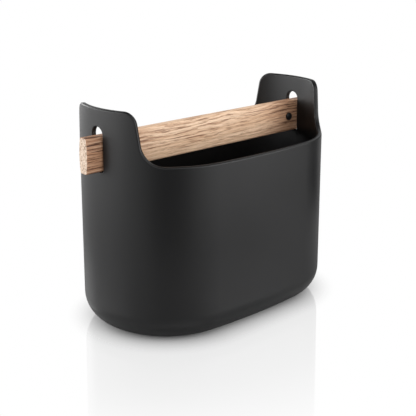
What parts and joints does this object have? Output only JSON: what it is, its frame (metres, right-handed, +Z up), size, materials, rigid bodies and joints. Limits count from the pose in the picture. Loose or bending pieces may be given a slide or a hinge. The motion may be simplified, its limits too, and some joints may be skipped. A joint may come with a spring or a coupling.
{
  "type": "tool storage caddy",
  "caption": "Open oval caddy: a moulded black tub whose ends rise into slotted ears, with a straight oak bar handle that rests in the slots and is kept in by cross pegs.",
  "frame": {"origin": "middle of the base, on the surface that the caddy stands on", "axes": "+Z up, +X along the bar handle, Y across the tub"},
  "size_m": [0.2832, 0.1616, 0.206],
  "materials": {
    "tub": "satin black moulded plastic",
    "oak": "oak, sanded and lightly oiled",
    "peg": "black moulded plastic"
  },
  "bodies": {
    "tub_body": {"tub": "tub"},
    "handle": {"handle_bar": "oak", "left_peg": "peg", "right_peg": "peg"}
  },
  "joints": [
    {"name": "handle_lift", "type": "slide", "parent": "tub_body", "child": "handle", "axis": [0, 0, 1], "range_m": [0, 0.0056]}
  ]
}
